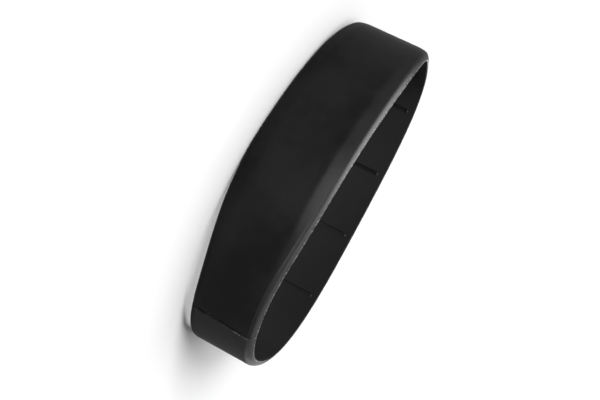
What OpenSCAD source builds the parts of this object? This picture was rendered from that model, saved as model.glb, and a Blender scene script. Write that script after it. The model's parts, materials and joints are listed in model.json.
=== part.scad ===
// Closed silicone wristband: a wide, bevelled face that tapers into a plain strap.
// It lies on its side, as it rests by itself: the face looks towards -Y, and the floor is Z = 0.

/* [Wrist opening] */
// Half of the opening's length, from its middle line to either end of the oval
opening_half_length = 36.3; // [34:0.1:39]
// Depth of the opening on the face's side of its middle line
opening_face_depth = 22; // [20:0.1:25]
// Depth of the opening on the strap's side of its middle line
opening_strap_depth = 19.9; // [18:0.1:23]
// Fullness of the oval on the face's side, where 2 is an ellipse and more is squarer
opening_face_fullness = 1.84; // [1.7:0.01:2.4]
// Fullness of the oval on the strap's side
opening_strap_fullness = 2.82; // [2:0.01:3]
// How far the oval leans over towards one end
opening_lean = 0.6; // [-1.5:0.05:1.5]
// How much further back one end of the oval lies than its middle
opening_sway = -3; // [-4:0.1:4]

/* [Face] */
// Width across the middle of the face
face_w = 20.2; // [18:0.1:22]
// Wall in the middle of the face
face_wall = 2.45; // [2.2:0.05:3]
// Distance along the loop from the face's middle to where most of its extra width is gone
face_half_length = 32.3; // [28:0.1:38]
// How sharply the face's extra width and wall give way to the strap's
face_sharpness = 3.95; // [2.5:0.05:5]
// Place of the face's middle along the loop, from the oval's middle line
face_place = -13.3; // [-18:0.1:18]

/* [Strap] */
// Width of the strap
strap_w = 15.1; // [13:0.1:17]
// Wall of the strap
strap_wall = 1.75; // [1.5:0.05:2.2]

/* [Edges] */
// Distance from the strap's rim to the flat outside, which runs on through the face between its two bevels
flat_margin = 1.1; // [1:0.05:1.6]
// Fall of the face's bevels for each millimetre from the flat to the rim; they fade out into the strap
bevel_slope = 0.36; // [0.1:0.01:0.4]
// Length over which the flat turns into the bevel
bevel_blend = 0.6; // [0.1:0.1:1]
// Fall of the rim for each millimetre outwards from its inner edge
rim_fall = 0.45; // [0.3:0.05:0.6]
// Radius of the outer edge of both rims
outer_edge_r = 1.4; // [1:0.05:1.5]
// Radius of the inner edge of both rims
inner_edge_r = 0.2; // [0.1:0.05:0.3]

/* [Seam] */
// Place of the bonded seam along the loop, from the oval's middle line
seam_place = 33.1; // [28:0.1:40]
// Width of the fine groove that the seam leaves
seam_w = 0.4; // [0.2:0.05:0.6]
// Depth of the seam's groove
seam_depth = 0.12; // [0.05:0.01:0.2]

/* [Inner grooves] */
// Number of cross grooves inside the strap
groove_count = 5; // [3:1:5]
// Distance from one groove to the next, along the loop
groove_pitch = 15.8; // [12:0.1:16]
// Place of the first groove along the loop, from the oval's middle line
groove_first = 59.3; // [55:0.1:62]
// Width of a groove
groove_w = 0.8; // [0.4:0.05:1]
// Depth of a groove
groove_depth = 0.35; // [0.2:0.05:0.5]
// Length of a groove, as a share of the strap's width
groove_share = 0.75; // [0.5:0.01:0.8]

/* [Hidden] */

silicone_black = [0.11, 0.11, 0.115];

flat_half_w = strap_w / 2 - flat_margin;
groove_half_l = groove_share * strap_w / 2;
groove_round = groove_w / 2;
// Sections round the loop, apart from those that shape the seam and the grooves
sections = 104;
// Steps in which the loop is measured
fine_steps = 1440;
// Small turn that gives the direction of the loop at a point
turn_step = 0.02;
// Keeps the oval's formula smooth where the oval crosses its own axes
softening = 0.03;
// Steps round the outer edge of a rim
edge_steps = 4;
// Rounds in which the place is found where the outer edge meets the outside
contact_rounds = 20;
// No plain section comes nearer to the seam or to a groove than this
mark_clearance = 0.5;
// Reach of the face's two halves along the loop, where the resting band may touch the floor
face_reach = 40;
// Rounds in which the floor's plane settles on the lowest points
settling_rounds = 6;

// The oval that the opening shows along its axis. Angle 0 is the face's side, and 90 the end at +X.
function softened(v, fullness) =
    v * pow((v * v + softening) / (1 + softening), 1 / fullness - 0.5);
function between_sides(face_value, strap_value, angle) =
    (strap_value + face_value) / 2 - (strap_value - face_value) / 2 * cos(angle);
function opening_point(angle) =
    let (
        fullness = between_sides(opening_face_fullness, opening_strap_fullness, angle),
        depth = between_sides(opening_face_depth, opening_strap_depth, angle)
    )
    [
        opening_half_length * softened(sin(angle), fullness),
        -depth * softened(cos(angle), fullness) - opening_lean * sin(2 * angle) + opening_sway * sin(angle)
    ];
function opening_outward(angle) =
    let (step = opening_point(angle + turn_step) - opening_point(angle - turn_step))
    [step[1], -step[0]] / norm(step);

// Places along the loop are lengths from the oval's middle line on the face's side.
fine_points = [for (i = [0:fine_steps]) opening_point(i * 360 / fine_steps)];
place_and_angle = [
    for (
        i = 0, place = 0;
        i <= fine_steps;
        place = place + (i < fine_steps ? norm(fine_points[i + 1] - fine_points[i]) : 0), i = i + 1
    )
        [place, i * 360 / fine_steps]
];
angle_and_place = [for (row = place_and_angle) [row[1], row[0]]];
loop_length = place_and_angle[fine_steps][0];
function round_loop(place) = place - loop_length * floor(place / loop_length);
function past_face(place) = round_loop(place - face_place + loop_length / 2) - loop_length / 2;

function widening(place) = exp(-pow(abs(past_face(place)) / face_half_length, face_sharpness));
function half_width_at(place) = (strap_w + (face_w - strap_w) * widening(place)) / 2;
function wall_at(place) = strap_wall + (face_wall - strap_wall) * widening(place);

// What crosses the band: [place, half of its width, depth inside, depth outside]
groove_marks = [
    for (i = [0:groove_count - 1])
        [round_loop(groove_first + i * groove_pitch), groove_w / 2, groove_depth, 0]
];
seam_mark = [round_loop(seam_place), seam_w / 2, 0, seam_depth];
marks = concat(groove_marks, [seam_mark]);

// The sections: [place, depth of the groove inside, depth of the seam outside]
mark_rows = [
    for (mark = marks, share = [-1, -0.5, 0, 0.5, 1])
        [mark[0] + share * mark[1], mark[2] * (1 - share * share), mark[3] * (1 - abs(share))]
];
function near_mark(place) =
    len([for (mark = marks) if (abs(mark[0] - place) < mark[1] + mark_clearance) mark]) > 0;
plain_rows = [
    for (i = [0:sections - 1])
        let (place = lookup(i * 360 / sections, angle_and_place))
        if (!near_mark(place)) [place, 0, 0]
];
function by_place(rows) =
    len(rows) < 2 ? rows :
    let (middle = rows[floor(len(rows) / 2)][0])
    concat(
        by_place([for (row = rows) if (row[0] < middle) row]),
        [for (row = rows) if (row[0] == middle) row],
        by_place([for (row = rows) if (row[0] > middle) row])
    );
rows = by_place(concat(plain_rows, mark_rows));

// One section, as [distance outwards from the opening, height above the band's middle plane].
function outside_at(wall, bevel, height) =
    let (past_flat = height - flat_half_w)
    wall - bevel * (past_flat + norm([past_flat, bevel_blend])) / 2;
function arc_points(centre, r, from, to, steps) =
    [for (i = [0:steps]) let (a = from + (to - from) * i / steps) centre + r * [cos(a), sin(a)]];
function inside_line(groove) =
    [
        [groove, 0],
        [groove, groove_half_l - groove_round],
        [groove * 0.75, groove_half_l - groove_round / 2],
        [0, groove_half_l]
    ];
function outside_angle(bevel, height) =
    let (past_flat = height - flat_half_w)
    atan(bevel * (1 + past_flat / norm([past_flat, bevel_blend])) / 2);
function outside_line(wall, bevel, contact) =
    let (foot = min(flat_half_w - bevel_blend, 0.9 * contact))
    [
        for (height = [foot + 0.6 * (contact - foot), foot + 0.2 * (contact - foot), foot, 0])
            [outside_at(wall, bevel, height), height]
    ];
// The rim falls in a straight line from its inner edge to the outer edge's arc, which runs into the outside.
function edge_centre(wall, bevel, contact) =
    let (angle = outside_angle(bevel, contact))
    [outside_at(wall, bevel, contact), contact] - outer_edge_r * [cos(angle), sin(angle)];
function below_rim(half_w, p) =
    let (slant = norm([1, rim_fall]), top = half_w + inner_edge_r * (slant + rim_fall - 1))
    (top - rim_fall * p[0] - p[1]) / slant;
function contact_height(half_w, wall, bevel, low, high, rounds) =
    let (middle = (low + high) / 2)
    rounds == 0 ? middle :
    below_rim(half_w, edge_centre(wall, bevel, middle)) > outer_edge_r ?
        contact_height(half_w, wall, bevel, middle, high, rounds - 1) :
        contact_height(half_w, wall, bevel, low, middle, rounds - 1);
function rim_line(half_w, wall, bevel, contact) =
    let (rim_angle = atan(1 / rim_fall), inner_centre = [inner_edge_r, half_w - inner_edge_r])
    concat(
        arc_points(inner_centre, inner_edge_r, 180, 90, 1),
        [inner_centre + inner_edge_r * [cos(rim_angle), sin(rim_angle)]],
        arc_points(
            edge_centre(wall, bevel, contact), outer_edge_r, rim_angle, outside_angle(bevel, contact), edge_steps
        )
    );
function upper_half(half_w, wall, bevel, groove) =
    let (contact = contact_height(half_w, wall, bevel, half_w / 2, half_w, contact_rounds))
    concat(inside_line(groove), rim_line(half_w, wall, bevel, contact), outside_line(wall, bevel, contact));
function whole_section(upper) =
    concat(upper, [for (i = [len(upper) - 2:-1:1]) [upper[i][0], -upper[i][1]]]);
// The seam's groove pinches the section in from the outside and from both rims.
function section_at(row) =
    let (half_w = half_width_at(row[0]), wall = wall_at(row[0]), bevel = bevel_slope * widening(row[0]))
    whole_section(upper_half(half_w - row[2], wall - row[2], bevel, row[1]));

function ring_at(row) =
    let (
        angle = lookup(row[0], place_and_angle),
        foot = opening_point(angle),
        outward = opening_outward(angle)
    )
    [for (p = section_at(row)) [foot[0] + p[0] * outward[0], foot[1] + p[0] * outward[1], p[1]]];
rings = [for (row = rows) ring_at(row)];
ring_size = len(rings[0]);

// The floor's plane goes through the lowest point of each half of the face and of the strap.
function lowest(points, up) =
    let (heights = [for (p = points) p * up], least = min(heights))
    [for (i = [0:len(points) - 1]) if (heights[i] == least) points[i]][0];
function points_past_face(from, to) =
    [
        for (i = [0:len(rows) - 1])
            let (past = past_face(rows[i][0]))
            if (past >= from && past < to) each rings[i]
    ];
seam_half_points = points_past_face(0, face_reach);
far_half_points = points_past_face(-face_reach, 0);
strap_points = concat(
    points_past_face(face_reach, loop_length),
    points_past_face(-loop_length, -face_reach)
);
function settled(up, rounds) =
    rounds == 0 ? up :
    let (
        a = lowest(seam_half_points, up),
        b = lowest(far_half_points, up),
        c = lowest(strap_points, up),
        n = cross(a - b, c - b)
    )
    settled(n / norm(n) * sign(n[2]), rounds - 1);
first_lean = atan((face_w - strap_w) / 2 / (opening_face_depth + opening_strap_depth));
floor_up = settled([0, -sin(first_lean), cos(first_lean)], settling_rounds);
function levelled(p) =
    let (axis = cross(floor_up, [0, 0, 1]))
    p * floor_up[2] + cross(axis, p) + axis * (axis * p) / (1 + floor_up[2]);

points = [for (ring = rings, p = ring) levelled(p)];
low = [for (k = [0:2]) min([for (p = points) p[k]])];
high = [for (k = [0:2]) max([for (p = points) p[k]])];
foot_centre = [(low[0] + high[0]) / 2, (low[1] + high[1]) / 2, low[2]];
function point_index(ring, i) = (ring % len(rings)) * ring_size + i % ring_size;
faces = [
    for (ring = [0:len(rings) - 1], i = [0:ring_size - 1], half = [0, 1])
        let (
            a = point_index(ring, i),
            b = point_index(ring + 1, i),
            c = point_index(ring + 1, i + 1),
            d = point_index(ring, i + 1)
        )
        half == 0 ? [a, b, c] : [a, c, d]
];

module band() {
    color(silicone_black)
        translate(-foot_centre)
            polyhedron(points = points, faces = faces, convexity = 6);
}

band();
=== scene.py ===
# Closed silicone wristband, lying on its side as it rests by itself.
# All sizes are in metres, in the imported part's frame: the floor is Z = 0 and the face looks towards -Y.
import json
import math
from bisect import bisect_right

import bpy
from mathutils import Matrix, Vector, noise


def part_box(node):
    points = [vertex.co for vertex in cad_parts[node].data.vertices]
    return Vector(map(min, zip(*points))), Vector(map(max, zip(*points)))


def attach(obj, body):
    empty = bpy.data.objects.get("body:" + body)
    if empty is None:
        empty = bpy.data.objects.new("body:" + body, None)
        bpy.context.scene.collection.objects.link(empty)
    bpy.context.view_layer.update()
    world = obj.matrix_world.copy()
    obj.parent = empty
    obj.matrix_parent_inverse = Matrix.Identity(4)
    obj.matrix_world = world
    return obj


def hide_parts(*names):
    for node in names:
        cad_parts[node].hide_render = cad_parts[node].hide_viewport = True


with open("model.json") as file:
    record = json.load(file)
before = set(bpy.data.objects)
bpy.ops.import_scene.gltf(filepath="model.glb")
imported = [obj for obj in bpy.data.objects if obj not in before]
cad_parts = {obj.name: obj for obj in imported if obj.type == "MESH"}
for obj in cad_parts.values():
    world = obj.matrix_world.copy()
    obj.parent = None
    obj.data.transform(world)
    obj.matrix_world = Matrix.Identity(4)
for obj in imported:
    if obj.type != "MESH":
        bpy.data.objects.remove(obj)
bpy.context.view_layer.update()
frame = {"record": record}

MM = 0.001

# The wrist opening, as the part's source has it: an oval that is fuller on the strap's side
OPENING_HALF_LENGTH = 36.3 * MM
OPENING_FACE_DEPTH = 22.0 * MM
OPENING_STRAP_DEPTH = 19.9 * MM
OPENING_FACE_FULLNESS = 1.84
OPENING_STRAP_FULLNESS = 2.82
OPENING_LEAN = 0.6 * MM
OPENING_SWAY = -3.0 * MM
SOFTENING = 0.03

# The face and the strap. A place is a length along the loop from the oval's middle on the face's side.
FACE_W = 20.2 * MM
FACE_WALL = 2.45 * MM
FACE_HALF_LENGTH = 32.3 * MM
FACE_SHARPNESS = 3.95
FACE_PLACE = -13.3 * MM
STRAP_W = 15.1 * MM
STRAP_WALL = 1.75 * MM

# The bevelled flanks, the sloping rims and their rounded edges
FLAT_MARGIN = 1.1 * MM
FLAT_HALF_W = STRAP_W / 2 - FLAT_MARGIN
BEVEL_SLOPE = 0.36
BEVEL_BLEND = 0.6 * MM
RIM_FALL = 0.45
RIM_ANGLE = math.atan(1 / RIM_FALL)
OUTER_EDGE_R = 1.4 * MM
INNER_EDGE_R = 0.2 * MM

# A wave is a length and a seed. Its line runs through the noise at this level.
WAVE_LEVEL = 0.37

# The bonded seam: a fine, uneven furrow
SEAM_PLACE = 33.1 * MM
SEAM_HALF_W = 0.12 * MM
SEAM_DEPTH = 0.62 * MM
SEAM_REACH = 2.0 * MM

# Shares of its depth: the plain one, a wave's, what is lost high up, and those over the rim and inside
SEAM_DEPTH_SHARE = 0.8
SEAM_DEPTH_UNEVEN = 0.3
SEAM_DEPTH_WAVE = (1.7 * MM, 2.2)
SEAM_SHALLOWER = 0.25
SEAM_SHALLOWER_AT = (-2 * MM, 5 * MM)
SEAM_RIM_DEPTH = 0.3
SEAM_INSIDE_DEPTH = 0.25

# Its width grows downwards, unevenly.
SEAM_WIDER = 1.6
SEAM_WIDER_UNEVEN = 0.5
SEAM_WIDER_WAVE = (1.3 * MM, 5.5)
SEAM_WIDER_BELOW = (-2 * MM, 3 * MM)

# Its line leans, and wanders with two waves. Beside the seam the surface's shift fades out.
SEAM_LEAN = 0.045
SEAM_WANDER = 0.09 * MM
SEAM_LONG_WAVE = (2.6 * MM, 4.1)
SEAM_SHORT_WAVE = (0.8 * MM, 9.3)
SEAM_SHORT_SHARE = 0.45
SEAM_FADES = (0.6 * MM, SEAM_REACH)

# The lip beside the seam, frayed near the upper rim
LIP_HEIGHT = 0.15 * MM
LIP_WAVE = (0.7 * MM, 3.3)
LIP_PLACE = 0.3 * MM
LIP_HALF_W = 0.1 * MM
FRAY_HEIGHT = 4.6 * MM
FRAY_HALF_L = 1.9 * MM

# The grooves inside the strap, and the pips at their ends. Each groove has its own share of the full depth.
GROOVE_PITCH = 15.8 * MM
GROOVE_FIRST = 59.3 * MM
GROOVE_HALF_W = 0.42 * MM
GROOVE_DEPTH = 0.35 * MM
GROOVE_HALF_L = 0.75 * STRAP_W / 2
GROOVE_WALL = 0.14 * MM
GROOVE_SHARES = (0.2, 0.7, 0.7, 0.92, 0.85)
PIP_R = 0.3 * MM
PIP_HEIGHT = 0.14 * MM

# The moulded surface's slow unevenness
UNEVEN_DEPTH = 0.035 * MM
UNEVEN_LENGTH = 7.0 * MM
UNEVEN_SEED = Vector((3.1, 1.7, 5.2))

# A painted highlight in specks along the inner edge. It fades in between two cosines of the oval's angle.
HIGHLIGHT_CREST = 0.6 * INNER_EDGE_R
HIGHLIGHT_REACH = 0.34 * MM
HIGHLIGHT_FADES = (-0.4, 0.1)

# Where else the material changes: inside and past the seam on the strap, which are painted paler as painted
# light, in the seam, and in the grooves, which get painted shade
INSIDE_NORMAL = -0.9
STRAP_STARTS = (0.0, 0.2 * MM)
STRAP_FADES = (60 * MM, 90 * MM)
SEAM_SHADE_WIDER = 1.3
SEAM_INSIDE_SHADE = 0.3
SHADED_WALL_FROM = 0.6
SHADED_BOTTOM = (0.7, 1.0)

# How finely the mesh is divided
LOOP_STEPS = 1440
RING_GAP = 0.5 * MM
INSIDE_GAP = 0.45 * MM
OUTSIDE_GAP = 0.3 * MM
FINE_GAP = 0.1 * MM
SEAM_GAP = 0.05 * MM
SEAM_FINE_REACH = 1.0 * MM
GROOVE_FINE_REACH = 0.9 * MM


def between(start, end, share):
    return start + (end - start) * share


def bell(v, half_w):
    return math.exp(-((v / half_w) ** 2))


def rise(v, start, end):
    """A smooth step from 0 at start to 1 at end."""
    share = min(max((v - start) / (end - start), 0.0), 1.0)
    return share * share * (3 - 2 * share)


def wave(v, length, seed):
    """Smooth noise along one line, from about -1 to 1."""
    return 2 * noise.noise(Vector((v / length, seed, WAVE_LEVEL)))


# The loop round the opening


def softened(v, fullness):
    """v to the power 2 / fullness, nearly, but smooth where v is 0."""
    return v * ((v * v + SOFTENING) / (1 + SOFTENING)) ** (1 / fullness - 0.5)


def between_sides(face_value, strap_value, angle):
    """A value that has turned from the face's towards the strap's at this angle."""
    return (strap_value + face_value) / 2 - (strap_value - face_value) / 2 * math.cos(angle)


def opening_point(angle):
    """The oval of the opening. Angle 0 is the face's side, and a quarter turn is the end at +X."""
    fullness = between_sides(OPENING_FACE_FULLNESS, OPENING_STRAP_FULLNESS, angle)
    depth = between_sides(OPENING_FACE_DEPTH, OPENING_STRAP_DEPTH, angle)
    x = OPENING_HALF_LENGTH * softened(math.sin(angle), fullness)
    y = -depth * softened(math.cos(angle), fullness)
    return Vector((x, y - OPENING_LEAN * math.sin(2 * angle) + OPENING_SWAY * math.sin(angle)))


def opening_outward(angle):
    """The way straight out of the oval at an angle."""
    turn = 0.0003
    step = opening_point(angle + turn) - opening_point(angle - turn)
    return Vector((step.y, -step.x)).normalized()


ANGLES = [2 * math.pi * i / LOOP_STEPS for i in range(LOOP_STEPS + 1)]
PLACES = [0.0]
for before, after in zip(ANGLES, ANGLES[1:]):
    PLACES.append(PLACES[-1] + (opening_point(after) - opening_point(before)).length)
LOOP_LENGTH = PLACES[-1]


def angle_at(place):
    """The oval's angle at a place."""
    place = place % LOOP_LENGTH
    i = min(bisect_right(PLACES, place), LOOP_STEPS)
    share = (place - PLACES[i - 1]) / (PLACES[i] - PLACES[i - 1])
    return between(ANGLES[i - 1], ANGLES[i], share)


def along(place, mark):
    """The signed length along the loop from a mark to a place."""
    return (place - mark + LOOP_LENGTH / 2) % LOOP_LENGTH - LOOP_LENGTH / 2


def widening(place):
    """1 in the middle of the face, and 0 along the strap."""
    return math.exp(-((abs(along(place, FACE_PLACE)) / FACE_HALF_LENGTH) ** FACE_SHARPNESS))


# The plain section. Its points hold the distance outwards from the opening and the height.


def outside_at(wall, bevel, height):
    """How far out the outside lies at a height: flat in the middle, and running over into the bevel."""
    past_flat = height - FLAT_HALF_W
    return wall - bevel * (past_flat + math.hypot(past_flat, BEVEL_BLEND)) / 2


def outside_angle(bevel, height):
    """How far the outside leans back at a height."""
    past_flat = height - FLAT_HALF_W
    return math.atan(bevel * (1 + past_flat / math.hypot(past_flat, BEVEL_BLEND)) / 2)


def edge_centre(wall, bevel, contact):
    """Centre of the outer edge's arc that runs into the outside at this height."""
    angle = outside_angle(bevel, contact)
    outside = Vector((outside_at(wall, bevel, contact), contact))
    return outside - OUTER_EDGE_R * Vector((math.cos(angle), math.sin(angle)))


def below_rim(half_w, point):
    """How far a point lies below the sloping rim."""
    slant = math.hypot(1, RIM_FALL)
    top = half_w + INNER_EDGE_R * (slant + RIM_FALL - 1)
    return (top - RIM_FALL * point.x - point.y) / slant


def contact_height(half_w, wall, bevel):
    """Height at which the outer edge's arc, lying against the sloping rim, runs into the outside."""
    halvings = 30
    low, high = half_w / 2, half_w
    for _ in range(halvings):
        middle = (low + high) / 2
        if below_rim(half_w, edge_centre(wall, bevel, middle)) > OUTER_EDGE_R:
            low = middle
        else:
            high = middle
    return (low + high) / 2


def steps(start, end, count):
    """Even steps from start towards end, without the end."""
    return [start + (end - start) * i / count for i in range(count)]


def heights_between(stops, counts):
    """Heights from each stop to the next in so many steps, without the last stop."""
    heights = []
    for start, end, count in zip(stops, stops[1:], counts):
        heights += steps(start, end, count)
    return heights


def arc(centre, radius, start, end, count):
    """Points of an arc from one angle to another, in so many steps."""
    angles = steps(start, end, count) + [end]
    return [Vector((centre[0] + radius * math.cos(a), centre[1] + radius * math.sin(a))) for a in angles]


# Every section has the same number of rows, so that the sections join into a grid.
# On the inside the rows are fine where the grooves end, and on the outside over the bevel and its knee.
GROOVE_END = (GROOVE_HALF_L - 0.6 * MM, GROOVE_HALF_L + 0.5 * MM)
INSIDE_ROWS = (
    round(GROOVE_END[0] / INSIDE_GAP),
    round((GROOVE_END[1] - GROOVE_END[0]) / FINE_GAP),
    round((FACE_W / 2 - GROOVE_END[1]) / INSIDE_GAP),
)
FLAT_START = FLAT_HALF_W - 2 * BEVEL_BLEND
KNEE_PAST_FLAT = 0.5 * BEVEL_BLEND
KNEE_SHARE = 0.6
BEVEL_ROWS = round((FACE_W / 2 - FLAT_HALF_W) / OUTSIDE_GAP)
BLEND_ROWS = 6
FLAT_ROWS = 16
INNER_EDGE_ROWS = 4
OUTER_EDGE_ROWS = 14
RIM_SHARES = (0.33, 0.67)


def half_section(half_w, wall, bevel):
    """The section's points from the middle of the inside over the rim to the middle of the outside."""
    inside_end = half_w - INNER_EDGE_R
    stops = (0.0, *GROOVE_END, inside_end)
    inside = [Vector((0.0, height)) for height in heights_between(stops, INSIDE_ROWS)]
    inner_edge = arc((INNER_EDGE_R, inside_end), INNER_EDGE_R, math.pi, RIM_ANGLE, INNER_EDGE_ROWS)
    contact = contact_height(half_w, wall, bevel)
    edge_end = outside_angle(bevel, contact)
    outer_edge = arc(edge_centre(wall, bevel, contact), OUTER_EDGE_R, RIM_ANGLE, edge_end, OUTER_EDGE_ROWS)
    rim = [inner_edge[-1].lerp(outer_edge[0], share) for share in RIM_SHARES]
    knee = min(FLAT_HALF_W + KNEE_PAST_FLAT, between(FLAT_START, contact, KNEE_SHARE))
    stops = (contact, knee, FLAT_START, 0.0)
    heights = heights_between(stops, (BEVEL_ROWS, BLEND_ROWS, FLAT_ROWS))[1:] + [0.0]
    outside = [Vector((outside_at(wall, bevel, height), height)) for height in heights]
    return inside + inner_edge + rim + outer_edge + outside


def whole_section(half_w, wall, bevel):
    """The section's points all round, from the middle of the inside over the upper rim."""
    upper = half_section(half_w, wall, bevel)
    lower = [Vector((row.x, -row.y)) for row in upper[-2:0:-1]]
    return upper + lower


def section_normals(section):
    """The way out of the silicone at each of a section's points."""
    after = section[1:] + section[:1]
    before = section[-1:] + section[:-1]
    ways = [b - a for a, b in zip(before, after)]
    return [Vector((-way.y, way.x)).normalized() for way in ways]


# The relief: the seam, the grooves and the unevenness


def seam_shift(offset, height):
    """How far the seam has wandered along the loop at this height, fading out on both sides of it."""
    waves = wave(height, *SEAM_LONG_WAVE) + SEAM_SHORT_SHARE * wave(height, *SEAM_SHORT_WAVE)
    return (SEAM_WANDER * waves + SEAM_LEAN * height) * (1 - rise(abs(offset), *SEAM_FADES))


def seam_half_w(height):
    """The furrow's half width: fine near the upper rim, and wider and uneven in the lower half."""
    wider = rise(-height, *SEAM_WIDER_BELOW) * (1 + SEAM_WIDER_UNEVEN * wave(height, *SEAM_WIDER_WAVE))
    return SEAM_HALF_W * (1 + SEAM_WIDER * wider)


def seam_lip(offset, height):
    """Where the lip beside the furrow stands, from 0 to 1."""
    frayed = bell(height - FRAY_HEIGHT, FRAY_HALF_L)
    return frayed * bell(offset - LIP_PLACE, LIP_HALF_W)


def seam_relief(offset, height, sidewards):
    """The seam's furrow and lip, outwards from the surface. Over the rim the furrow is shallower."""
    uneven = SEAM_DEPTH_UNEVEN * wave(height, *SEAM_DEPTH_WAVE)
    deeper = SEAM_DEPTH_SHARE + uneven - SEAM_SHALLOWER * rise(height, *SEAM_SHALLOWER_AT)
    over_rim = between(SEAM_RIM_DEPTH, 1.0, sidewards)
    furrow = -SEAM_DEPTH * deeper * bell(offset, seam_half_w(height)) * over_rim
    lip = LIP_HEIGHT * seam_lip(offset, height) * (1 + wave(height, *LIP_WAVE)) * sidewards ** 2
    return furrow + lip


def groove_relief(offset, height):
    """A groove with steep sides and round ends, and the pip at each end, outwards from the inside."""
    past_end = max(abs(height) - (GROOVE_HALF_L - GROOVE_HALF_W), 0.0)
    edge = math.hypot(offset, past_end) - GROOVE_HALF_W
    groove = -GROOVE_DEPTH * (1 - rise(edge, -GROOVE_WALL, GROOVE_WALL / 2))
    from_pip = math.hypot(offset, abs(height) - GROOVE_HALF_L)
    pip = math.sqrt(max(1 - (from_pip / PIP_R) ** 2, 0.0))
    return groove * (1 - pip) + PIP_HEIGHT * pip


def groove_shade(relief, share):
    """How much painted shade a groove gets, from 0 to 1: on its walls, and on its bottom where it is cut to
    its full depth.
    """
    depth = min(max(-relief / GROOVE_DEPTH, 0.0), 1.0)
    walls = 4 * depth * (1 - depth) * min(share / SHADED_WALL_FROM, 1.0)
    return max(walls, rise(share * depth, *SHADED_BOTTOM))


# Each groove's place, and its share of the full depth
GROOVES = {(GROOVE_FIRST + i * GROOVE_PITCH) % LOOP_LENGTH: share for i, share in enumerate(GROOVE_SHARES)}


def faces_inwards(normal):
    """Whether a point of the section is on the flat inside."""
    return normal.x < INSIDE_NORMAL


class Ring:
    """The band's section at one place of the loop."""

    def __init__(self, place):
        self.place = place
        wide = widening(place)
        half_w = between(STRAP_W, FACE_W, wide) / 2
        self.rows = whole_section(half_w, between(STRAP_WALL, FACE_WALL, wide), BEVEL_SLOPE * wide)
        self.normals = section_normals(self.rows)
        self.crest = Vector((HIGHLIGHT_CREST, half_w))
        self.edge_highlight = rise(math.cos(angle_at(place)), *HIGHLIGHT_FADES)
        self.from_seam = along(place, SEAM_PLACE)
        # The strap share marks where the strap past the seam is painted paler, as painted light, and is
        # rougher.
        self.strap = rise(self.from_seam, *STRAP_STARTS) * (1 - rise(self.from_seam, *STRAP_FADES))
        groove = min(GROOVES, key=lambda mark: abs(along(place, mark)))
        self.from_groove = along(place, groove)
        self.groove_share = GROOVES[groove]

    def full_groove(self, height):
        """The relief of the nearest groove as if it had the full depth. Away from the groove it is 0."""
        near = abs(self.from_groove) < 2 * GROOVE_HALF_W
        return groove_relief(self.from_groove, height) if near else 0.0

    def relief(self, row, normal, foot):
        """How far the surface stands out of the plain section. A shallower groove keeps its pips' height."""
        sidewards = normal.x ** 2
        spot = Vector((foot.x, foot.y, row.y)) / UNEVEN_LENGTH + UNEVEN_SEED
        relief = -UNEVEN_DEPTH * sidewards * (0.5 + 0.5 * noise.noise(spot))
        if abs(self.from_seam) < SEAM_REACH:
            depth = SEAM_INSIDE_DEPTH if faces_inwards(normal) else 1.0
            relief += seam_relief(self.from_seam, row.y, sidewards) * depth
        if faces_inwards(normal):
            groove = self.full_groove(row.y)
            relief += max(groove * self.groove_share, groove)
        return relief

    def point(self, row, normal):
        """The point of the band's surface at one row of the section."""
        shift = 0.0 if faces_inwards(normal) else seam_shift(self.from_seam, row.y)
        angle = angle_at(self.place + shift)
        foot = opening_point(angle)
        outward = opening_outward(angle)
        out = row + normal * self.relief(row, normal, foot)
        return Vector((foot.x + out.x * outward.x, foot.y + out.x * outward.y, out.y))

    def shares(self, row, normal):
        """What the material reads at one row, each from 0 to 1."""
        inside = faces_inwards(normal)
        seam = bell(self.from_seam, SEAM_SHADE_WIDER * seam_half_w(row.y))
        # The edge share is painted highlight: specks along the inner edge, and a glint on the lip beside the
        # seam.
        edge = self.edge_highlight * bell((row - self.crest).length, HIGHLIGHT_REACH)
        lip = 0.0 if inside else seam_lip(self.from_seam, row.y) * normal.x ** 4
        return {
            "seam": seam * (SEAM_INSIDE_SHADE if inside else 1.0),
            "edge": max(edge, lip),
            # The inside share paints the surfaces that face inwards paler, as painted light.
            "inside": max(-normal.x, 0.0) ** 2,
            "groove": groove_shade(self.full_groove(row.y), self.groove_share) if inside else 0.0,
            "strap": 0.0 if inside else self.strap,
        }


def ring_places():
    """Places of the sections: even round the loop, and closer at the seam and at the grooves."""
    fine = [(SEAM_PLACE, SEAM_FINE_REACH, SEAM_GAP)]
    fine += [(groove, GROOVE_FINE_REACH, FINE_GAP) for groove in GROOVES]
    count = round(LOOP_LENGTH / RING_GAP)
    plain = [LOOP_LENGTH * i / count for i in range(count)]
    kept = [p for p in plain if all(abs(along(p, mark)) > reach + gap for mark, reach, gap in fine)]
    for mark, reach, gap in fine:
        half_count = round(reach / gap)
        kept += [(mark + i * gap) % LOOP_LENGTH for i in range(-half_count, half_count + 1)]
    return sorted(kept)


def foot_of(low, high):
    """The middle of the floor of a box."""
    return Vector(((low[0] + high[0]) / 2, (low[1] + high[1]) / 2, low[2]))


def laid_down(points):
    """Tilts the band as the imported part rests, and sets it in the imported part's box."""
    opening = next(m for m in frame["record"]["mounts"] if m["name"] == "wrist_opening")
    tilt = Vector((0, 0, 1)).rotation_difference(Vector(opening["axis"])).to_matrix()
    points = [tilt @ p for p in points]
    low = [min(p[k] for p in points) for k in range(3)]
    high = [max(p[k] for p in points) for k in range(3)]
    foot = foot_of(low, high)
    place = foot_of(*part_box("band"))
    return [p - foot + place for p in points]


def added(name, data):
    """A new object of the scene."""
    thing = bpy.data.objects.new(name, data)
    bpy.context.scene.collection.objects.link(thing)
    return thing


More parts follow.
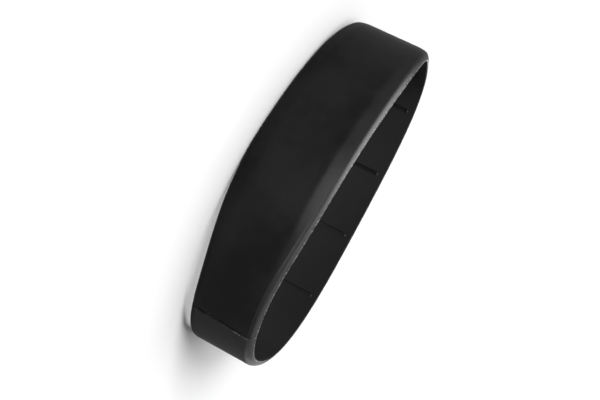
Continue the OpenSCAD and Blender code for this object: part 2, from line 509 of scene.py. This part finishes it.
def make_band():
    """A closed grid over all sections, whose points hold the shares that the material reads."""
    rings = [Ring(place) for place in ring_places()]
    spots = [(ring, row, normal) for ring in rings for row, normal in zip(ring.rows, ring.normals)]
    points = laid_down([ring.point(row, normal) for ring, row, normal in spots])
    painted = [ring.shares(row, normal) for ring, row, normal in spots]
    ring_size = len(rings[0].rows)
    faces = []
    for i in range(len(rings)):
        here = i * ring_size
        there = (i + 1) % len(rings) * ring_size
        for j in range(ring_size):
            k = (j + 1) % ring_size
            faces.append((here + j, there + j, there + k, here + k))
    mesh = bpy.data.meshes.new("wristband")
    mesh.from_pydata([p[:] for p in points], [], faces)
    for name in painted[0]:
        values = [shares[name] for shares in painted]
        mesh.attributes.new(name, "FLOAT", "POINT").data.foreach_set("value", values)
    mesh.shade_smooth()
    return added("wristband", mesh)


# Shader maths


class Wire:
    """An output of a shader node. Arithmetic on it adds Math nodes to its owner."""

    def __init__(self, finish, output):
        self.finish = finish
        self.output = output

    def __add__(self, other):
        return self.finish.maths("ADD", self, other)

    def __sub__(self, other):
        return self.finish.maths("SUBTRACT", self, other)

    def __rsub__(self, other):
        return self.finish.maths("SUBTRACT", other, self)

    def __mul__(self, other):
        return self.finish.maths("MULTIPLY", self, other)

    __radd__ = __add__
    __rmul__ = __mul__


class Finish:
    """A material or a world, and the nodes that are added to it."""

    def __init__(self, owner):
        self.owner = owner
        self.owner.use_nodes = True
        self.tree = self.owner.node_tree
        self.tree.nodes.clear()

    def node(self, kind, settings, inputs, output=0):
        """Adds a node, sets it up, fills its sockets with values or wires, and returns one output."""
        made = self.tree.nodes.new(kind)
        for name, value in settings.items():
            setattr(made, name, value)
        for key, value in inputs.items():
            if isinstance(value, Wire):
                self.tree.links.new(value.output, made.inputs[key])
            else:
                made.inputs[key].default_value = value
        return Wire(self, made.outputs[output]) if made.outputs else None

    def maths(self, operation, a, b):
        return self.node("ShaderNodeMath", {"operation": operation}, {0: a, 1: b})

    def smooth(self, value, low, high):
        """0 below low and 1 above high, with a smooth step between."""
        inputs = {"Value": value, "From Min": low, "From Max": high}
        return self.node("ShaderNodeMapRange", {"interpolation_type": "SMOOTHSTEP"}, inputs)

    def mixed(self, factor, a, b):
        """Colour a where the factor is 0 and colour b where it is 1."""
        # A Mix node's sockets for colours come after those for numbers and vectors.
        inputs = {0: factor, 6: a, 7: b}
        return self.node("ShaderNodeMix", {"data_type": "RGBA"}, inputs, output=2)

    def noise(self, places, size, detail, seed=0.0):
        """Cloudy noise from 0 to 1, whose blots are about this size."""
        inputs = {"Vector": places, "W": seed, "Scale": 1 / size, "Detail": detail, "Roughness": 0.55}
        return self.node("ShaderNodeTexNoise", {"noise_dimensions": "4D"}, inputs, output="Fac")

    def painted(self, name):
        """A share that the mesh holds at each point."""
        return self.node("ShaderNodeAttribute", {"attribute_name": name}, {}, output="Fac")

    def done(self, **sockets):
        """Adds the surface shader, whose sockets take values or wires."""
        inputs = {name.replace("_", " "): value for name, value in sockets.items()}
        shader = self.node("ShaderNodeBsdfPrincipled", {}, inputs, output="BSDF")
        self.node("ShaderNodeOutputMaterial", {}, {"Surface": shader})
        return self.owner


def grey(level, blue=0.0):
    """A grey whose blue stands a little above the rest."""
    return (level, level, level + blue, 1)


# The silicone's blacks and greys, and how much of the last two shows. The strap and inside greys are painted
# light, the highlight grey is a painted highlight, and the groove's is painted shade.
FACE_DARK = grey(0.0024, 0.0001)
FACE_WORN = grey(0.007, 0.0002)
STRAP_PAINTED_LIGHT = grey(0.011, 0.0003)
INSIDE_SHADED_GREY = grey(0.01, 0.0003)
INSIDE_LIT_GREY = grey(0.019, 0.0004)
HIGHLIGHT_GREY = grey(0.24)
GROOVE_PAINTED_SHADE = grey(0.003)
SEAM_BLACK = grey(0.001)
GROOVE_SHADE = 0.65
SEAM_SHADE = 0.9

# Its blotches, the inside's patches of painted light and shade, the painted highlight's specks, and its
# grain. A noise turns from one side to the other between its edges.
BLOTCH_SIZE = 16 * MM
BLOTCH_SEED = 6.3
PATCH_SIZE = 2.2 * MM
PATCH_SHARE = 0.25
WORN_EDGES = (0.36, 0.64)
INSIDE_LIGHT_PATCH_SIZE = 44 * MM
INSIDE_LIGHT_PATCH_SEED = 1.0
INSIDE_LIGHT_PATCH_EDGES = (0.3, 0.7)
HIGHLIGHT_SPECK_SIZE = 0.45 * MM
HIGHLIGHT_SPECK_EDGES = (0.42, 0.66)
GRAIN_SIZE = 0.11 * MM
GRAIN_DEPTH = 0.012 * MM
GRAIN_STRENGTH = 0.35

# Its gloss. The strap is duller than the face.
ROUGHNESS = 0.32
STRAP_ROUGHER = 0.2
WORN_ROUGHER = 0.05
SEAM_ROUGHER = 0.1
SILICONE_IOR = 1.41
SPECULAR_LEVEL = 0.4


def black_silicone():
    """Satin black moulded silicone with slow blotches and a dark seam, painted light on the strap and the
    inside, painted shade in the grooves and a painted highlight along the inner edge.
    """
    finish = Finish(bpy.data.materials.new("black_silicone"))
    places = finish.node("ShaderNodeTexCoord", {}, {}, output="Object")
    seam = finish.painted("seam")
    strap = finish.painted("strap")
    blotches = finish.noise(places, BLOTCH_SIZE, detail=3.0, seed=BLOTCH_SEED)
    patches = finish.noise(places, PATCH_SIZE, detail=4.0)
    worn = finish.smooth(blotches * (1 - PATCH_SHARE) + patches * PATCH_SHARE, *WORN_EDGES)
    face_colour = finish.mixed(worn, FACE_DARK, FACE_WORN)
    # The strap past the seam is painted paler, standing in for light falling on that end of the band.
    outside_colour = finish.mixed(strap, face_colour, STRAP_PAINTED_LIGHT)
    # The inside is painted paler than the outside, as painted light on the inner wall, and large patches lay
    # painted light and shade across it.
    inside_light_patches = finish.noise(places, INSIDE_LIGHT_PATCH_SIZE, detail=0.0, seed=INSIDE_LIGHT_PATCH_SEED)
    inside_painted_light = finish.mixed(finish.smooth(inside_light_patches, *INSIDE_LIGHT_PATCH_EDGES), INSIDE_SHADED_GREY, INSIDE_LIT_GREY)
    colour = finish.mixed(finish.painted("inside"), outside_colour, inside_painted_light)
    # Painted highlight in specks along the inner edge and on the seam's lip
    highlight_specks = finish.smooth(finish.noise(places, HIGHLIGHT_SPECK_SIZE, detail=2.0), *HIGHLIGHT_SPECK_EDGES)
    colour = finish.mixed(finish.painted("edge") * highlight_specks, colour, HIGHLIGHT_GREY)
    # Painted shade in the grooves
    colour = finish.mixed(finish.painted("groove") * GROOVE_SHADE, colour, GROOVE_PAINTED_SHADE)
    colour = finish.mixed(seam * SEAM_SHADE, colour, SEAM_BLACK)
    roughness = ROUGHNESS + strap * STRAP_ROUGHER + (worn - 0.5) * WORN_ROUGHER + seam * SEAM_ROUGHER
    grain = finish.noise(places, GRAIN_SIZE, detail=2.0)
    grain_inputs = {"Strength": GRAIN_STRENGTH, "Distance": GRAIN_DEPTH, "Height": grain}
    return finish.done(
        Base_Color=colour,
        Roughness=roughness,
        Normal=finish.node("ShaderNodeBump", {}, grain_inputs, output="Normal"),
        IOR=SILICONE_IOR,
        Specular_IOR_Level=SPECULAR_LEVEL,
    )


# The studio's paper floor. The gloss mirrors it dimmed, as through a polariser.
FLOOR_SIZE = 8.0
PAPER_DARK = grey(0.79)
PAPER_PALE = grey(0.81)
PAPER_MIRRORED = grey(0.215)
PAPER_CLOUD_SIZE = 60 * MM


def studio_floor():
    """Plain white paper, hardly uneven."""
    finish = Finish(bpy.data.materials.new("studio_floor"))
    places = finish.node("ShaderNodeTexCoord", {}, {}, output="Object")
    clouds = finish.noise(places, PAPER_CLOUD_SIZE, detail=2.0)
    colour = finish.mixed(clouds, PAPER_DARK, PAPER_PALE)
    in_gloss = finish.node("ShaderNodeLightPath", {}, {}, output="Is Glossy Ray")
    colour = finish.mixed(in_gloss, colour, PAPER_MIRRORED)
    return finish.done(Base_Color=colour, Roughness=0.9, Specular_IOR_Level=0.0)


def make_floor():
    """A wide sheet of the paper under the band."""
    half = FLOOR_SIZE / 2
    corners = [(x * half, y * half, 0.0) for x, y in ((-1, -1), (1, -1), (1, 1), (-1, 1))]
    mesh = bpy.data.meshes.new("floor")
    mesh.from_pydata(corners, [], [(0, 1, 2, 3)])
    mesh.materials.append(studio_floor())
    added("floor", mesh)


def direction(azimuth, elevation):
    """The way from the part to what stands at these angles. Azimuth 0 is in front, at -Y, and 90 at +X."""
    a, e = math.radians(azimuth), math.radians(elevation)
    return Vector((math.sin(a) * math.cos(e), -math.cos(a) * math.cos(e), math.sin(e)))


# The camera
CAMERA_AIM = Vector((2.754, -0.585, 7.636)) * MM
CAMERA_AZIMUTH = 4.38
CAMERA_ELEVATION = 18.502
CAMERA_DISTANCE = 259.31 * MM
CAMERA_ROLL = 115.589
CAMERA_LENS = 73.65


def make_camera():
    """The camera leans well over, so that the band stands nearly on end in the picture."""
    back = direction(CAMERA_AZIMUTH, CAMERA_ELEVATION)
    azimuth = math.radians(CAMERA_AZIMUTH)
    level_right = Vector((math.cos(azimuth), math.sin(azimuth), 0.0))
    right = Matrix.Rotation(math.radians(CAMERA_ROLL), 3, back) @ level_right
    up = back.cross(right)
    data = bpy.data.cameras.new("camera")
    data.sensor_width = 36.0
    data.lens = CAMERA_LENS
    data.clip_start = 0.01
    camera = added("camera", data)
    turned = Matrix((right, up, back)).transposed().to_4x4()
    camera.matrix_world = Matrix.Translation(CAMERA_AIM + back * CAMERA_DISTANCE) @ turned
    bpy.context.scene.camera = camera


# The sky and the lights. Angles are in degrees.
SKY_STRENGTH = 0.3
LAMP_DISTANCE = 1.5

# Name, azimuth, elevation, spread, strength
KEYS = (
    ("back key", -130, 72, 60, 1.45),
    ("front key", -38, 38, 34, 2.92),
)

# Name, azimuth, elevation, angle across, angle upright, radiance
PANELS = (
    ("front panel", 2, 32, 64, 18, 2.8),
    ("front high panel", 0, 54, 56, 24, 0.8),
    ("front right panel", 52, 9, 56, 20, 0.6),
    ("left panel", -70, 31, 50, 24, 0.6),
    ("high panel", -112, 58, 60, 34, 3.8),
    ("top panel", -130, 76, 50, 50, 2.1),
    ("far right panel", 85, 62, 70, 50, 0.6),
    ("right panel", 150, 46, 80, 26, 0.5),
    ("low right panel", 152, 3, 90, 10, 4.0),
)

# The power that a square metre of panel takes to shine with a radiance of 1
PANEL_WATTS = 4.0

# The pool of light on the floor in front
POOL_PLACE = (-6 * MM, -66 * MM)
POOL_RADIUS = 34 * MM
POOL_WATTS = 232


def make_sky():
    """An even, white sky."""
    sky = Finish(bpy.data.worlds.new("studio"))
    light = sky.node("ShaderNodeBackground", {}, {"Color": grey(1), "Strength": SKY_STRENGTH})
    sky.node("ShaderNodeOutputWorld", {}, {"Surface": light})
    bpy.context.scene.world = sky.owner


def facing_from(way):
    """The turn of a lamp that stands this way from the part and shines at it."""
    return way.to_track_quat("Z", "Y").to_matrix().to_4x4()


def make_key(name, azimuth, elevation, spread, strength):
    """A broad, even light from far away, which fills this many degrees of the sky and isn't mirrored."""
    data = bpy.data.lights.new(name, "SUN")
    data.angle = math.radians(spread)
    data.energy = strength
    lamp = added(name, data)
    lamp.matrix_world = facing_from(direction(azimuth, elevation))
    lamp.visible_glossy = False


def make_panel(name, azimuth, elevation, across, upright, radiance):
    """A bright panel that only gloss mirrors. It adds no light to the floor."""
    data = bpy.data.lights.new(name, "AREA")
    data.shape = "RECTANGLE"
    data.size = 2 * LAMP_DISTANCE * math.tan(math.radians(across / 2))
    data.size_y = 2 * LAMP_DISTANCE * math.tan(math.radians(upright / 2))
    data.energy = radiance * data.size * data.size_y * PANEL_WATTS
    lamp = added(name, data)
    way = direction(azimuth, elevation)
    lamp.matrix_world = Matrix.Translation(way * LAMP_DISTANCE) @ facing_from(way)
    lamp.visible_diffuse = False


def make_pool():
    """A lamp straight above the floor beside the band, whose pool of light the band mirrors."""
    data = bpy.data.lights.new("front pool", "SPOT")
    data.spot_size = 2 * math.atan(POOL_RADIUS / LAMP_DISTANCE)
    data.spot_blend = 1.0
    data.energy = POOL_WATTS
    lamp = added("front pool", data)
    lamp.location = (*POOL_PLACE, LAMP_DISTANCE)
    lamp.visible_glossy = False


make_camera()
band = make_band()
band.data.materials.append(black_silicone())
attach(band, "root")
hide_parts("band")

make_floor()
make_sky()
for key in KEYS:
    make_key(*key)
for panel in PANELS:
    make_panel(*panel)
make_pool()
bpy.context.scene.view_settings.view_transform = "Standard"
